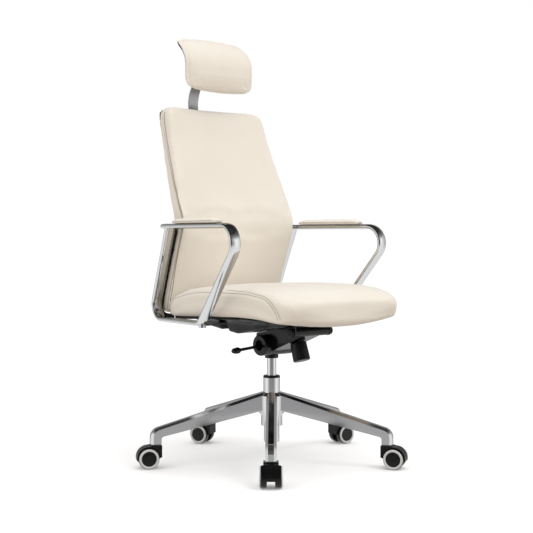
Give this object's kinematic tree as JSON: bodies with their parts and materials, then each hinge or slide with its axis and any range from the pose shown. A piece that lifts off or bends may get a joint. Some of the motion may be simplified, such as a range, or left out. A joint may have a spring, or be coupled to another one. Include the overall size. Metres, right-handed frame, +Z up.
{
  "type": "swivel office chair",
  "caption": "Swivel office chair with cream leather seat, tall bent back and headrest, bright loop arms, gas lift, knee-tilt mechanism and polished star base on twin-wheel casters.",
  "frame": {"origin": "on the floor, on the axis of the gas lift", "axes": "+Z up; the sitter faces -Y; +X is the sitter's left"},
  "size_m": [0.7773, 0.7639, 1.2761],
  "materials": {
    "cream_leather": "satin",
    "polished_aluminium": "polished",
    "bright_chrome": "polished",
    "brushed_steel": "satin",
    "plain_steel": "satin",
    "black_steel": "satin",
    "black_plastic": "satin",
    "wheel_nylon": "satin",
    "red_plastic": "gloss"
  },
  "bodies": {
    "base": {"star_base": "polished_aluminium", "lift_outer_tube": "bright_chrome", "lift_guide_bush": "black_plastic", "lift_thrust_bearing": "plain_steel"},
    "lift_rod": {"piston_rod": "plain_steel", "lift_retaining_clip": "plain_steel"},
    "mechanism": {"gas_cylinder": "bright_chrome", "mechanism_housing": "black_steel", "tilt_spring": "plain_steel"},
    "valve": {"valve_button": "red_plastic"},
    "lever_carriage": {"lock_bolt": "black_plastic"},
    "lever": {"lift_lever": "black_steel", "lever_paddle": "black_plastic"},
    "tension": {"tension_knob": "black_plastic", "tension_bolt": "plain_steel"},
    "nut": {"spring_nut": "plain_steel"},
    "seat": {"seat_plate": "black_steel", "pivot_shaft": "black_plastic", "seat_pan": "black_plastic", "seat_cushion": "cream_leather", "underseat_bolts": "plain_steel", "back_bracket": "black_steel", "back_panel": "cream_leather", "back_cushion": "cream_leather", "back_shell": "black_plastic", "back_bolts": "plain_steel", "headrest_guide": "black_plastic", "arm_loop_right": "bright_chrome", "arm_loop_left": "bright_chrome", "arm_pad_right": "cream_leather", "arm_pad_left": "cream_leather"},
    "headrest_post": {"headrest_strap": "brushed_steel", "headrest_hinge_pin": "plain_steel"},
    "headrest": {"headrest_plate": "black_plastic", "headrest_cushion": "cream_leather"},
    "caster_front": {"caster_front_hood": "black_plastic", "caster_front_stem": "plain_steel", "caster_front_axle": "plain_steel"},
    "caster_front_wheel_left": {"caster_front_wheel_left": "wheel_nylon"},
    "caster_front_wheel_right": {"caster_front_wheel_right": "wheel_nylon"},
    "caster_right_front": {"caster_right_front_hood": "black_plastic", "caster_right_front_stem": "plain_steel", "caster_right_front_axle": "plain_steel"},
    "caster_right_front_wheel_left": {"caster_right_front_wheel_left": "wheel_nylon"},
    "caster_right_front_wheel_right": {"caster_right_front_wheel_right": "wheel_nylon"},
    "caster_right_rear": {"caster_right_rear_hood": "black_plastic", "caster_right_rear_stem": "plain_steel", "caster_right_rear_axle": "plain_steel"},
    "caster_right_rear_wheel_left": {"caster_right_rear_wheel_left": "wheel_nylon"},
    "caster_right_rear_wheel_right": {"caster_right_rear_wheel_right": "wheel_nylon"},
    "caster_left_rear": {"caster_left_rear_hood": "black_plastic", "caster_left_rear_stem": "plain_steel", "caster_left_rear_axle": "plain_steel"},
    "caster_left_rear_wheel_left": {"caster_left_rear_wheel_left": "wheel_nylon"},
    "caster_left_rear_wheel_right": {"caster_left_rear_wheel_right": "wheel_nylon"},
    "caster_left_front": {"caster_left_front_hood": "black_plastic", "caster_left_front_stem": "plain_steel", "caster_left_front_axle": "plain_steel"},
    "caster_left_front_wheel_left": {"caster_left_front_wheel_left": "wheel_nylon"},
    "caster_left_front_wheel_right": {"caster_left_front_wheel_right": "wheel_nylon"}
  },
  "joints": [
    {"name": "seat_swivel", "type": "hinge", "parent": "base", "child": "lift_rod", "pos_m": [0, 0, 0.1], "axis": [0, 0, 1], "continuous": true},
    {"name": "seat_lift", "type": "slide", "parent": "lift_rod", "child": "mechanism", "axis": [0, 0, 1], "range_m": [-0.05, 0.05]},
    {"name": "seat_tilt", "type": "hinge", "parent": "mechanism", "child": "seat", "pos_m": [0, -0.168, 0.393], "axis": [-1, 0, 0], "range_deg": [0, 12], "stiffness_Nm_per_rad": 150, "springref_deg": -20.05, "deforming": ["tilt_spring"]},
    {"name": "tilt_lock", "type": "slide", "parent": "mechanism", "child": "lever_carriage", "axis": [1, 0, 0], "range_m": [-0.008, 0]},
    {"name": "lever_lift", "type": "hinge", "parent": "lever_carriage", "child": "lever", "pos_m": [-0.03, -0.013, 0.346], "axis": [0, 1, 0], "range_deg": [0, 8], "stiffness_Nm_per_rad": 1, "springref_deg": -5.73},
    {"name": "valve_press", "type": "slide", "parent": "mechanism", "child": "valve", "axis": [0, 0, -1], "range_m": [0, 0.0042]},
    {"name": "tension_turn", "type": "hinge", "parent": "mechanism", "child": "tension", "pos_m": [0, -0.125, 0.332], "axis": [0, 0.309, 0.9511], "range_deg": [-1080, 1080]},
    {"name": "nut_slide", "type": "slide", "parent": "mechanism", "child": "nut", "axis": [0, 0.309, 0.9511], "range_m": [-0.0061, 0.0061], "deforming": ["tilt_spring"]},
    {"name": "headrest_height", "type": "slide", "parent": "seat", "child": "headrest_post", "axis": [0, 0.3168, 0.9485], "range_m": [-0.045, 0.02]},
    {"name": "headrest_tilt", "type": "hinge", "parent": "headrest_post", "child": "headrest", "pos_m": [0, 0.305, 1.181], "axis": [1, 0, 0], "range_deg": [-20, 25]},
    {"name": "caster_front_swivel", "type": "hinge", "parent": "base", "child": "caster_front", "pos_m": [-0.22962, -0.26415, 0.07], "axis": [0, 0, 1], "continuous": true},
    {"name": "caster_front_wheel_left_roll", "type": "hinge", "parent": "caster_front", "child": "caster_front_wheel_left", "pos_m": [-0.24326, -0.28012, 0.03], "axis": [-0.7604, 0.6494, 0], "continuous": true},
    {"name": "caster_front_wheel_right_roll", "type": "hinge", "parent": "caster_front", "child": "caster_front_wheel_right", "pos_m": [-0.24326, -0.28012, 0.03], "axis": [-0.7604, 0.6494, 0], "continuous": true},
    {"name": "caster_right_front_swivel", "type": "hinge", "parent": "base", "child": "caster_right_front", "pos_m": [-0.32218, 0.13676, 0.07], "axis": [0, 0, 1], "continuous": true},
    {"name": "caster_right_front_wheel_left_roll", "type": "hinge", "parent": "caster_right_front", "child": "caster_right_front_wheel_left", "pos_m": [-0.34072, 0.14661, 0.03], "axis": [0.4695, 0.8829, 0], "continuous": true},
    {"name": "caster_right_front_wheel_right_roll", "type": "hinge", "parent": "caster_right_front", "child": "caster_right_front_wheel_right", "pos_m": [-0.34072, 0.14661, 0.03], "axis": [0.4695, 0.8829, 0], "continuous": true},
    {"name": "caster_right_rear_swivel", "type": "hinge", "parent": "base", "child": "caster_right_rear", "pos_m": [0.03051, 0.34867, 0.07], "axis": [0, 0, 1], "continuous": true},
    {"name": "caster_right_rear_wheel_left_roll", "type": "hinge", "parent": "caster_right_rear", "child": "caster_right_rear_wheel_left", "pos_m": [0.02163, 0.3677, 0.03], "axis": [0.9063, 0.4226, 0], "continuous": true},
    {"name": "caster_right_rear_wheel_right_roll", "type": "hinge", "parent": "caster_right_rear", "child": "caster_right_rear_wheel_right", "pos_m": [0.02163, 0.3677, 0.03], "axis": [0.9063, 0.4226, 0], "continuous": true},
    {"name": "caster_left_rear_swivel", "type": "hinge", "parent": "base", "child": "caster_left_rear", "pos_m": [0.34103, 0.07873, 0.07], "axis": [0, 0, 1], "continuous": true},
    {"name": "caster_left_rear_wheel_left_roll", "type": "hinge", "parent": "caster_left_rear", "child": "caster_left_rear_wheel_left", "pos_m": [0.36191, 0.07654, 0.03], "axis": [-0.1045, -0.9945, 0], "continuous": true},
    {"name": "caster_left_rear_wheel_right_roll", "type": "hinge", "parent": "caster_left_rear", "child": "caster_left_rear_wheel_right", "pos_m": [0.36191, 0.07654, 0.03], "axis": [-0.1045, -0.9945, 0], "continuous": true},
    {"name": "caster_left_front_swivel", "type": "hinge", "parent": "base", "child": "caster_left_front", "pos_m": [0.18026, -0.30001, 0.07], "axis": [0, 0, 1], "continuous": true},
    {"name": "caster_left_front_wheel_left_roll", "type": "hinge", "parent": "caster_left_front", "child": "caster_left_front_wheel_left", "pos_m": [0.19124, -0.31791, 0.03], "axis": [-0.8526, -0.5225, 0], "continuous": true},
    {"name": "caster_left_front_wheel_right_roll", "type": "hinge", "parent": "caster_left_front", "child": "caster_left_front_wheel_right", "pos_m": [0.19124, -0.31791, 0.03], "axis": [-0.8526, -0.5225, 0], "continuous": true}
  ],
  "couplings": [
    {"joint": "valve_press", "follows": "lever_lift", "m_per_rad": 0.029},
    {"joint": "nut_slide", "follows": "tension_turn", "m_per_rad": 0.0003183}
  ]
}
